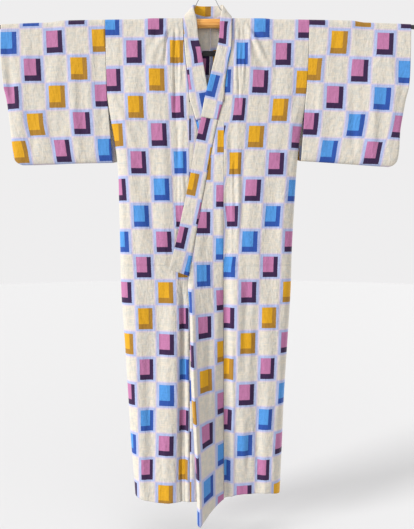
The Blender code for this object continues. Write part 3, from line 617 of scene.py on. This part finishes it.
def sleeve(name, sign):
    """A bag over the bar: open at the wrist and along the body below the armhole."""
    shares = even_runs((0, 0.03, 4), (0.03, 0.9, 46), (0.9, 1.0, 13))
    parts = even_runs((0, 0.9, 62), (0.9, 1.0, 16))
    outer = 3 if sign > 0 else 1
    label = "left" if sign > 0 else "right"
    points, prints = [], []
    grids = {"front": [], "back": []}
    for side in ("front", "back"):
        for part in parts:
            low = on_side(SLEEVE_HEM, sign, shares)
            corner = np.clip(shares - 0.9, 0.0, None) / 0.1
            low = low - 30.0 * (1.0 - np.sqrt(np.clip(1.0 - corner * corner, 0.0, 1.0)))
            depth = 24.0 + part * (low - 24.0)
            x_in = sleeve_inner(sign, depth, side)
            x = x_in + shares * (follow(SLEEVE, outer, depth) - x_in)
            depth = first_depth(x) + part * (low - first_depth(x))
            half = sleeve_half(shares, part, depth, x)
            wave = np.zeros(len(shares))
            for which, top, bottom, start, end, out, wide in SLEEVE_FOLDS:
                if which == label:
                    centre = top + (bottom - top) * part
                    rise = ease(depth, start, 90.0) * smooth((end + 60 - depth) / 90.0)
                    wave = wave + out * rise * np.exp(-((shares - centre) / wide) ** 2)
            small = crease_sum("sleeve_" + label, x + (7.0 if side == "back" else 0.0), depth)
            wave = wave + small * (1.0 if side == "front" else -0.8)
            wave = wave * smooth(shares / 0.12) * smooth((1 - shares) / 0.06) * smooth((1 - part) / 0.1)
            wave = wave * smooth((depth - first_depth(x)) / 40.0)
            y = -half - wave if side == "front" else half - 0.6 * wave
            place = (sign * x, y, SHOULDER - depth)
            print_place = sleeve_print(sign, x, depth, shares, side)
            grids[side].append(add_line(points, prints, place, print_place))
    front, back = grids["front"], grids["back"]
    for part, front_line, back_line in zip(parts, front, back):
        for share, ahead, behind in zip(shares, front_line, back_line):
            if part == 1.0 or (share == 1.0 and part >= 0.56):
                close(points, ahead, behind)
    radii = [-points[index][1] for index in front[0]]
    over = round_bar(points, prints, front[0], back[0], front[0], radii, ROUND_SLEEVE, 14)
    return closed_piece(name, sign, points, prints, front, over, back)


OKUMI_ROWS = even_runs((OVERLAP_TOP, TURN_BACK, 88), (TURN_BACK, LAST_ROW, 104))


def okumi_under(name):
    """The wearer's right overlap strip, flat under the left front."""
    shares = np.linspace(0.0, 1.0, 20)
    points, prints, lines = [], [], []
    for nominal in OKUMI_ROWS:
        part = (nominal - OVERLAP_TOP) / (LAST_ROW - OVERLAP_TOP)
        reach = min(float(follow(SLANT, 1, nominal)), 90.0)
        x = -OVERLAP_SEAM + SEAM + shares * (reach + OVERLAP_SEAM - SEAM)
        x = np.maximum(x, 0.1 - OVERLAP_SEAM + SEAM)
        low = follow(HEM, 1, x) - 12.0 * ease(x, 10.0, 40.0)
        depth = OVERLAP_TOP + part * (low - OVERLAP_TOP)
        blend = ease(nominal, 780.0, 50.0)
        depth = nominal * (1 - blend) + depth * blend
        print_place = (2.5 + (x + 78.0) / CELL_X, 4.5 + (depth - 353.0) / OVERLAP_CELL_Y)
        place = (x, front_y(-1, x, depth), SHOULDER - depth)
        lines.append(add_line(points, prints, place, print_place))
    return thicken(mesh_object(name, points, strip_faces(lines), prints))


def okumi_over(name):
    """The wearer's left overlap strip, swung forward, its edge turned back below the collar."""
    shares = np.concatenate([np.linspace(0.0, 0.78, 24), np.linspace(0.80, 1.0, 14)])
    points, prints, lines = [], [], []
    for nominal in OKUMI_ROWS:
        ridge = float(follow(RIDGE, 1, nominal))
        drop = float(follow(RIDGE, 3, nominal))
        inset = 0.9 * float(ease(nominal, 560.0, 300.0))
        seam_x = float(follow(EDGE, 2, nominal)) - SEAM - 0.15 - inset
        slant = float(follow(SLANT, 2, nominal))
        turn = float(ease(nominal, TURN_BACK, 60.0))
        flat = seam_x + shares * (slant - seam_x)
        near = np.minimum(shares / 0.82, 1.0)
        bent = seam_x + near * (ridge - seam_x) - 3.0 * np.sin(math.pi * near) ** 2 * near
        round_off = np.clip((shares - 0.82) / 0.18, 0.0, 1.0)
        bent = bent - 9.0 * np.sin(round_off * math.pi / 2)
        inward = 24.0 * round_off ** 1.4
        x = flat * (1 - turn) + bent * turn
        below = 1.0 if nominal > TURN_BACK else 0.0
        depth = np.full(len(x), float(nominal)) + drop * near ** 1.2 * below
        y = front_y(1, np.maximum(x, ridge) if below else x, depth) + inward * turn * below
        arc = np.concatenate([[0.0], np.cumsum(np.hypot(np.diff(x), np.diff(y)))])
        row = nominal - 390.0 + 0.5 * drop * near ** 1.2 * below
        row = row - 6.0 * float(smooth((930.0 - nominal) / 100.0))
        early = 5.0 * float(smooth((620.0 - nominal) / 300.0))
        across = 0.5 - (1.16 * arc - 2.5 + early) / CELL_X
        print_place = (across, 4.5 + (row + early) / OVERLAP_CELL_Y)
        lines.append(add_line(points, prints, (x, y, SHOULDER - depth), print_place))
    faces = strip_faces([line[::-1] for line in lines])
    return thicken(mesh_object(name, points, faces, prints))


BACK_OF_NECK = 17.8


def collar_stations():
    """Seam point and free-edge point of the band from its right end round to its left end."""
    halves = {}
    for sign, table in ((1, COLLAR_LEFT), (-1, COLLAR_RIGHT)):
        stations = [((sx, sy, SHOULDER + sz), (fx, fy, SHOULDER + fz))
                    for sx, sy, sz, fx, fy, fz in table]
        column = 1 if sign > 0 else 3
        for depth in (100, 140, 180, 215, 257, 290, 326, 364, 402, 445, 489, 533, 577, 616, 656,
                      703, 751, 788, 824):
            if depth < 257:
                seam_x = sign * float(on_side(EDGE, sign, depth))
            else:
                seam_x = float(on_side(SLANT, sign, depth))
            free_x = float(follow(FREE, column, depth))
            free_depth = float(follow(FREE, column + 1, depth))
            sy = float(front_y(sign, seam_x, depth)) - 0.7
            fy = float(front_y(sign, free_x, free_depth)) - 0.7
            stations.append(((seam_x, sy, SHOULDER - depth), (free_x, fy, SHOULDER - free_depth)))
        halves[sign] = stations
    line = list(reversed(halves[-1][1:])) + halves[1]
    return [(Vector(seam), Vector(free)) for seam, free in line]


def refine(stations, times):
    """Adds points between the stations on a smooth curve."""
    result = []
    last = len(stations) - 1
    for i in range(last):
        near = [stations[min(max(i + step, 0), last)] for step in (-1, 0, 1, 2)]
        for k in range(times):
            t = k / times
            pair = []
            for p0, p1, p2, p3 in zip(*near):
                bend = 2 * p0 - 5 * p1 + 4 * p2 - p3
                twist = 3 * p1 - p0 - 3 * p2 + p3
                pair.append(0.5 * (2 * p1 + (p2 - p0) * t + bend * t * t + twist * t ** 3))
            result.append(tuple(pair))
    result.append(stations[-1])
    return result


def band_frames(stations):
    """Seam point, direction across, normal, width, way from the middle of the neck, and skew."""
    frames = []
    off = [abs(seam.x) + abs(seam.y - BACK_OF_NECK) for seam, _ in stations]
    middle = off.index(min(off))
    way = [0.0]
    for before, after in zip(stations[:-1], stations[1:]):
        step = (0.5 * (after[0] + after[1]) - 0.5 * (before[0] + before[1])).length
        way.append(way[-1] + step)
    for i, (seam, free) in enumerate(stations):
        before = stations[max(i - 1, 0)]
        after = stations[min(i + 1, len(stations) - 1)]
        along = (after[0] + after[1] - before[0] - before[1]).normalized()
        across = free - seam
        width = across.length
        across.normalize()
        normal = along.cross(across).normalized()
        frames.append((seam, across, normal, width, way[i] - way[middle], across.dot(along)))
    return frames


# Rows of the print along the band: way from the middle of the neck, row on the cover, on the band
BAND_ROWS = (
    (-1000, -6.756, -6.93), (-376, 0.5, 0.326), (-218, 2.5, 2.163), (-60, 4.07, 4.05),
    (0, 4.79, 4.77), (60, 5.42, 5.791), (155, 6.5, 6.895), (330, 8.535, 9.0),
    (450, 9.93, 10.35), (600, 11.674, 12.0), (800, 14.0, 14.27), (1100, 17.488, 17.76),
)
BAND_ROLL = 16.0
BAND_CELL = 67.5


def sweep(name, frames, section, column):
    """Closed slab through the frames; section gives its outline and the print's way across."""
    points, prints = [], []
    ways, *rows = zip(*BAND_ROWS)
    for seam, across, normal, width, way, skew in frames:
        roll = BAND_ROLL * (1.0 - float(smooth(abs(way) / 80.0)))
        for a, b, q in section(width, way):
            points.append(seam + across * a + normal * b)
            row = float(np.interp(way, ways, rows[column])) + skew * (a - width / 2) / CELL_Y
            prints.append((0.5 + (q + roll - 5.5) / BAND_CELL, row))
    count = len(section(50.0, 0.0))
    faces = []
    for j in range(len(frames) - 1):
        for i in range(count):
            a = j * count + i
            b = j * count + (i + 1) % count
            faces.append((a, b, b + count, a + count))
    faces.append(tuple(range(count))[::-1])
    faces.append(tuple(range((len(frames) - 1) * count, len(frames) * count)))
    return mesh_object(name, points, faces, prints)


def unevenness(way, share):
    """Slight puckers along the band, stronger at its loose end."""
    slow = 0.35 * math.sin(way / 19.0 + 2.0 * share) + 0.3 * math.sin(way / 43.0 + 1.0)
    loose = 0.9 * math.sin(way / 7.5 + 3.0 * share) * float(ease(way, 740.0, 70.0))
    return (slow + loose) * math.sin(math.pi * share)


def face_run(start, end, width, side, away, run, bulge=None):
    """Points of one face of the band, side -1 in front and 1 behind, along a run of shares."""
    outline = []
    for share in run:
        a = start + share * (end - start)
        out = away + bulge(share) if bulge else away
        outline.append((a, side * out, side * (a - width)))
    return outline


def edge_run(centre, reach, height, widest, steps):
    """Points round the band's free edge."""
    turns = [math.radians(angle) for angle in np.linspace(-widest, widest, steps)]
    return [(centre + reach * math.cos(t), height * math.sin(t), -reach * math.sin(t)) for t in turns]


def rising(count):
    return np.linspace(0.0, 1.0, count)


def falling(count):
    return np.linspace(1.0, 0.0, count)


def band_section(width, way):
    start, end = 0.85, width - BAND_HALF
    outline = face_run(start, end, width, -1, BAND_HALF, rising(10),
                       lambda share: 0.35 * unevenness(way, share))
    outline += edge_run(end, BAND_HALF, BAND_HALF, 70.0, 7)
    return outline + face_run(start, end, width, 1, BAND_HALF, falling(10),
                              lambda share: -0.35 * unevenness(way + 31.0, share))


def cover_section(width, way):
    inside = BAND_HALF + COVER_GAP
    outside = inside + COVER_WALL
    start, end = 1.3, width - 0.6
    outline = face_run(start, end, width, -1, outside, rising(12),
                       lambda share: unevenness(way, share))
    outline += edge_run(end, 2.2, outside, 65.0, 9)
    outline += face_run(start, end, width, 1, outside, falling(12),
                        lambda share: unevenness(way + 37.0, share))
    outline += face_run(start, width - 0.7, width, 1, inside, rising(8))
    outline.append((width + 0.6, 0.0, 0.0))
    return outline + face_run(start, width - 0.7, width, -1, inside, falling(8))


def node_tree(name):
    material = bpy.data.materials.new(name)
    material.use_nodes = True
    tree = material.node_tree
    return material, tree, tree.nodes["Principled BSDF"]


def add_node(tree, kind, inputs, **settings):
    """A node with its settings, its inputs set to values or linked to other nodes' outputs."""
    node = tree.nodes.new("ShaderNode" + kind)
    for name, value in settings.items():
        setattr(node, name, value)
    fill(tree, node, inputs)
    return node


def fill(tree, node, inputs):
    for name, value in inputs.items():
        if hasattr(value, "links"):
            tree.links.new(value, node.inputs[name])
        else:
            node.inputs[name].default_value = value


def print_node(tree):
    return add_node(tree, "UVMap", {}, uv_map="print").outputs[0]


def math_node(tree, operation, *values):
    return add_node(tree, "Math", dict(enumerate(values)), operation=operation).outputs[0]


def offset_times(tree, value, start, scale):
    return math_node(tree, "MULTIPLY", math_node(tree, "SUBTRACT", value, start), scale)


def mix_colour(tree, factor, first, second, blend="MIX"):
    first, second = (c if hasattr(c, "links") else (*c, 1.0) for c in (first, second))
    inputs = {0: factor, 6: first, 7: second}
    return add_node(tree, "Mix", inputs, data_type="RGBA", blend_type=blend).outputs[2]


def map_range(tree, value, from_low, from_high, to_low, to_high, way="LINEAR"):
    names = ("Value", "From Min", "From Max", "To Min", "To Max")
    inputs = dict(zip(names, (value, from_low, from_high, to_low, to_high)))
    return add_node(tree, "MapRange", inputs, interpolation_type=way).outputs[0]


def ramp_between(tree, value, start, end):
    if start < end:
        return map_range(tree, value, start, end, 0.0, 1.0, "SMOOTHSTEP")
    return map_range(tree, value, end, start, 1.0, 0.0, "SMOOTHSTEP")


def inside_box(tree, x, y, across, down, soft):
    """1 where x and y lie in the ranges across and down, with soft edges."""
    sides = []
    for value, (low, high) in ((x, across), (y, down)):
        up = ramp_between(tree, value, low - soft, low + soft)
        fall = ramp_between(tree, value, high + soft, high - soft)
        sides.append(math_node(tree, "MULTIPLY", up, fall))
    return math_node(tree, "MULTIPLY", *sides)


def noise(tree, place, stretch, detail, roughness=0.5, distortion=0.0):
    """Noise over the place, finer by stretch each way."""
    mapping = add_node(tree, "Mapping", {0: place, "Scale": stretch})
    return add_node(tree, "TexNoise", {
        "Vector": mapping.outputs[0], "Scale": 1.0, "Detail": detail, "Roughness": roughness,
        "Distortion": distortion}).outputs[0]


def bump(tree, height, strength, distance, under=None):
    inputs = {"Strength": strength, "Distance": distance, "Height": height}
    if under:
        inputs["Normal"] = under
    return add_node(tree, "Bump", inputs).outputs[0]


def pick_colour(tree, value, colours):
    """One of four colours by a value of 0, 1, 2 or 3."""
    share = math_node(tree, "DIVIDE", value, float(len(colours)))
    node = add_node(tree, "ValToRGB", {0: share})
    ramp = node.color_ramp
    ramp.interpolation = "CONSTANT"
    while len(ramp.elements) < len(colours):
        ramp.elements.new(0.5)
    for i, colour in enumerate(colours):
        ramp.elements[i].position = max(0.0, (i - 0.5) / len(colours))
        ramp.elements[i].color = (*colour, 1.0)
    return node.outputs[0]


def linear(*screen):
    """Screen values from 0 to 255 as the shader's linear colour."""
    shares = [value / 255.0 for value in screen]
    return tuple(c / 12.92 if c <= 0.04045 else ((c + 0.055) / 1.055) ** 2.4 for c in shares)


LIGHT = (linear(70, 134, 198), linear(170, 106, 146), linear(200, 148, 18), linear(170, 106, 146))
DARK = (linear(34, 70, 146), linear(44, 20, 60), linear(152, 110, 34), linear(44, 20, 60))
CREAM = linear(200, 192, 179)
CREAM_GREY = linear(188, 186, 178)
CREAM_WARM = linear(206, 194, 170)
CREAM_PINK = linear(196, 182, 178)
PALE = linear(192, 180, 192)
LAVENDER = linear(174, 169, 196)
PERIWINKLE = linear(156, 167, 202)


def printed_cotton(name):
    """Cream cotton with a checkerboard of framed two-tone blocks, woven with uneven threads."""
    material, tree, shader = node_tree(name)
    place = print_node(tree)
    apart = add_node(tree, "SeparateXYZ", {0: place})
    u, v = apart.outputs[0], apart.outputs[1]

    # threads: fine streaks along and across the cloth, also used to fray the print's edges
    warp = noise(tree, place, (46.0, 2.2, 1.0), 3.0, 0.6)
    weft = noise(tree, place, (1.9, 58.0, 1.0), 3.0, 0.6)
    u = math_node(tree, "ADD", u, offset_times(tree, weft, 0.5, 0.035))
    v = math_node(tree, "ADD", v, offset_times(tree, warp, 0.5, 0.03))

    # place within the cell, and whether the cell holds a block and in which colours
    column = math_node(tree, "FLOOR", u)
    row = math_node(tree, "FLOOR", v)
    x = offset_times(tree, u, column, CELL_X)
    y = offset_times(tree, v, row, CELL_Y)
    total = math_node(tree, "ADD", column, row)
    odd = math_node(tree, "FLOORED_MODULO", total, 2.0)
    block_cell = math_node(tree, "SUBTRACT", 1.0, odd)
    which = math_node(tree, "FLOORED_MODULO", math_node(tree, "MULTIPLY", total, 0.5), 4.0)

    # millimetres from the cell's corner
    block = inside_box(tree, x, y, (11.2, 63.0), (9.6, 79.6), 0.7)
    bright = inside_box(tree, x, y, (11.2, 48.6), (9.6, 62.0), 0.7)
    rim = inside_box(tree, x, y, (2.8, 71.2), (2.2, 85.2), 1.0)
    cell_in = inside_box(tree, x, y, (0.6, 73.2), (0.4, 85.6), 0.8)
    blank_in = inside_box(tree, x, y, (3.4, 71.2), (3.6, 83.4), 2.4)

    two_tone = mix_colour(tree, bright, pick_colour(tree, which, DARK), pick_colour(tree, which, LIGHT))
    edge = mix_colour(tree, rim, LAVENDER, PERIWINKLE)
    edge = mix_colour(tree, cell_in, PALE, edge)
    framed = mix_colour(tree, block, edge, two_tone)
    inputs = {"Scale": 5.0, "Detail": 3.0, "Vector": place}
    patchy = add_node(tree, "TexNoise", inputs).outputs[0]
    ground = mix_colour(tree, ramp_between(tree, patchy, 0.38, 0.62), CREAM, CREAM_GREY)
    ground = mix_colour(tree, ramp_between(tree, weft, 0.5, 0.72), ground, CREAM_WARM)
    ground = mix_colour(tree, ramp_between(tree, warp, 0.56, 0.74), ground, CREAM_PINK)
    blank = mix_colour(tree, blank_in, PALE, ground)
    colour = mix_colour(tree, block_cell, blank, framed)

    halves = [math_node(tree, "MULTIPLY", thread, 0.5) for thread in (warp, weft)]
    slub = math_node(tree, "ADD", *halves)
    shade = map_range(tree, slub, 0.34, 0.66, 0.84, 1.1)
    tone = add_node(tree, "CombineColor", {0: shade, 1: shade, 2: shade})
    colour = mix_colour(tree, 1.0, colour, tone.outputs[0], "MULTIPLY")

    # wrinkles too fine for the mesh, longer down the cloth than across it, under the weave
    wrinkle = noise(tree, place, (4.6, 1.7, 1.0), 3.5, 0.5, 0.7)
    crumple = bump(tree, math_node(tree, "MULTIPLY", wrinkle, patchy), 1.0, 0.0045)
    fill(tree, shader, {
        "Base Color": colour, "Roughness": map_range(tree, slub, 0.0, 1.0, 0.78, 0.95),
        "Sheen Weight": 0.18, "Sheen Roughness": 0.45, "Specular IOR Level": 0.3,
        "Normal": bump(tree, slub, 0.35, 0.0006, crumple)})
    return material


def finish_piece(obj, material):
    node = obj.name.removesuffix("_cloth")
    obj.data.materials.append(material)
    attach(obj, "root")
    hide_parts(node)


cotton = printed_cotton("printed_cotton")
band_line = band_frames(refine(collar_stations(), 5))
covered = [item for item in band_line if item[0].z > SHOULDER - 330.0]
BAR = ("hanger_bar", "hanger_arm_left", "hanger_arm_right")
BODY = ("body_left_cloth", "body_right_cloth")
# Piece, flat width and length in metres, flat area where it isn't a rectangle, what it rests on
PIECES = (
    (body_panel("body_left_cloth", 1), (0.335, 3.25), 0.93, BAR),
    (body_panel("body_right_cloth", -1), (0.335, 3.25), 0.93, BAR),
    (sleeve("sleeve_left_cloth", 1), (0.345, 0.96), None, ("hanger_end_left",)),
    (sleeve("sleeve_right_cloth", -1), (0.345, 0.96), None, ("hanger_end_right",)),
    (okumi_over("okumi_left_cloth"), (0.155, 1.33), 0.17, BODY[:1]),
    (okumi_under("okumi_right_cloth"), (0.155, 1.33), 0.15, BODY[1:]),
    (sweep("collar_cloth", band_line, band_section, 1), (0.058, 1.85), None, BODY),
    (sweep("collar_cover_cloth", covered, cover_section, 0), (0.116, 0.92), None, ("collar_cloth",)),
)
for piece, flat, area, rests_on in PIECES:
    finish_piece(piece, cotton)


# Label: a thin woven strip, a little bowed
def woven_label(name):
    low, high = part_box("neck_label")
    shares = np.linspace(-1.0, 1.0, 33)
    x, y, z = [(low[i] + high[i]) / 2 / MM for i in range(3)]
    half_x, half_z = [(high[i] - low[i]) / 2 / MM for i in (0, 2)]
    points, prints, lines = [], [], []
    for rise in np.linspace(-1.0, 1.0, 15):
        bow = 0.35 * np.cos(math.pi * shares / 2) + 0.12 * math.cos(4.0 * rise)
        down = np.full(len(shares), rise * half_z)
        place = (x + shares * half_x, y + 0.1 - bow, z - down)
        lines.append(add_line(points, prints, place, (shares * half_x / 10.0, down / 10.0)))
    return thicken(mesh_object(name, points, strip_faces(lines), prints), 0.45)


def label_weave():
    material, tree, shader = node_tree("woven_black")
    place = print_node(tree)
    inputs = {"Scale": 9.0, "Distortion": 0.6, "Vector": place}
    wave = add_node(tree, "TexWave", inputs).outputs["Fac"]
    fill(tree, shader, {
        "Base Color": mix_colour(tree, wave, (0.012, 0.011, 0.013), (0.03, 0.028, 0.032)),
        "Roughness": 0.62, "Sheen Weight": 0.1, "Normal": bump(tree, wave, 0.4, 0.0002)})
    return material


finish_piece(woven_label("neck_label_cloth"), label_weave())


# Hanger: its nodes stay, with finished materials
def object_noise(tree, stretch, detail):
    place = tree.nodes.new("ShaderNodeTexCoord").outputs["Object"]
    return noise(tree, place, stretch, detail)


def wood():
    material, tree, shader = node_tree("turned_wood")
    grain = object_noise(tree, (9.0, 260.0, 260.0), 4.0)
    light_grain = ramp_between(tree, grain, 0.3, 0.7)
    fill(tree, shader, {
        "Base Color": mix_colour(tree, light_grain, linear(196, 128, 52), linear(240, 184, 100)),
        "Roughness": ramp_between(tree, grain, -1.2, 1.6),
        "Normal": bump(tree, grain, 0.25, 0.0003)})
    return material


def even_finish(name, stretch, dark, light, roughness, metallic=0.0):
    """Lacquer or metal with a faint unevenness of colour and gloss."""
    material, tree, shader = node_tree(name)
    specks = object_noise(tree, stretch, 2.0)
    fill(tree, shader, {
        "Base Color": mix_colour(tree, specks, dark, light), "Metallic": metallic,
        "Roughness": map_range(tree, specks, 0.0, 1.0, *roughness)})
    return material


steel = even_finish("drawn_steel", (900.0, 900.0, 60.0), (0.2, 0.2, 0.21), (0.32, 0.32, 0.33),
                    (0.4, 0.55), 1.0)
maple = wood()
black = even_finish("moulded_black", (420.0, 420.0, 420.0), (0.012, 0.012, 0.013),
                    (0.028, 0.028, 0.03), (0.32, 0.5))
FINISHES = {
    "hanger_bar": maple, "hanger_hook": steel, "hanger_sling": steel,
    "hanger_arm_left": black, "hanger_arm_right": black,
    "hanger_end_left": black, "hanger_end_right": black,
}
for node, material in FINISHES.items():
    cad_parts[node].material_slots[0].material = material

# Floor, light and camera
FLOOR_COLOUR = (0.67, 0.67, 0.67, 1.0)
FLOOR_PLACE = (0.0, 0.0, -1.83)
bpy.ops.mesh.primitive_circle_add(vertices=96, radius=9.0, fill_type="NGON", location=FLOOR_PLACE)
floor = bpy.context.object
floor.name = "floor"
floor_paint, floor_tree, floor_shader = node_tree("pale_floor")
fill(floor_tree, floor_shader, {"Base Color": FLOOR_COLOUR, "Roughness": 0.9})
floor.data.materials.append(floor_paint)

world = bpy.data.worlds.new("pale_room")
bpy.context.scene.world = world
world.use_nodes = True
sky = world.node_tree.nodes["Background"]
fill(world.node_tree, sky, {"Color": (1.0, 0.992, 0.996, 1.0), "Strength": 0.86})
bpy.context.scene.view_settings.view_transform = "Standard"

# Name, where it shines from, spread in degrees, strength
LIGHTS = (
    ("key", (-3.3, -1.7, 1.1), 18.0, 3.6),
    ("rear", (3.0, 2.2, 0.8), 30.0, 1.6),
)
for name, place, wide, strength in LIGHTS:
    data = bpy.data.lights.new(name, "SUN")
    data.angle = math.radians(wide)
    data.energy = strength
    lamp = place_object(name, data)
    lamp.location = place
    lamp.rotation_euler = (-Vector(place)).to_track_quat("-Z", "Y").to_euler()

# Camera of the photograph: its focal length in pixels, and its tilt below the level
FOCAL_PIXELS = 500.0
PHOTO_WIDTH = 414.0
TILT = 3.7
camera_data = bpy.data.cameras.new("camera")
camera_data.sensor_fit = "HORIZONTAL"
camera_data.sensor_width = 36.0
camera_data.lens = 36.0 * FOCAL_PIXELS / PHOTO_WIDTH
camera = place_object("camera", camera_data)
camera.location = (0.0, -1.65, -0.8174)
camera.rotation_euler = (math.radians(90.0 - TILT), 0.0, 0.0)
bpy.context.scene.camera = camera
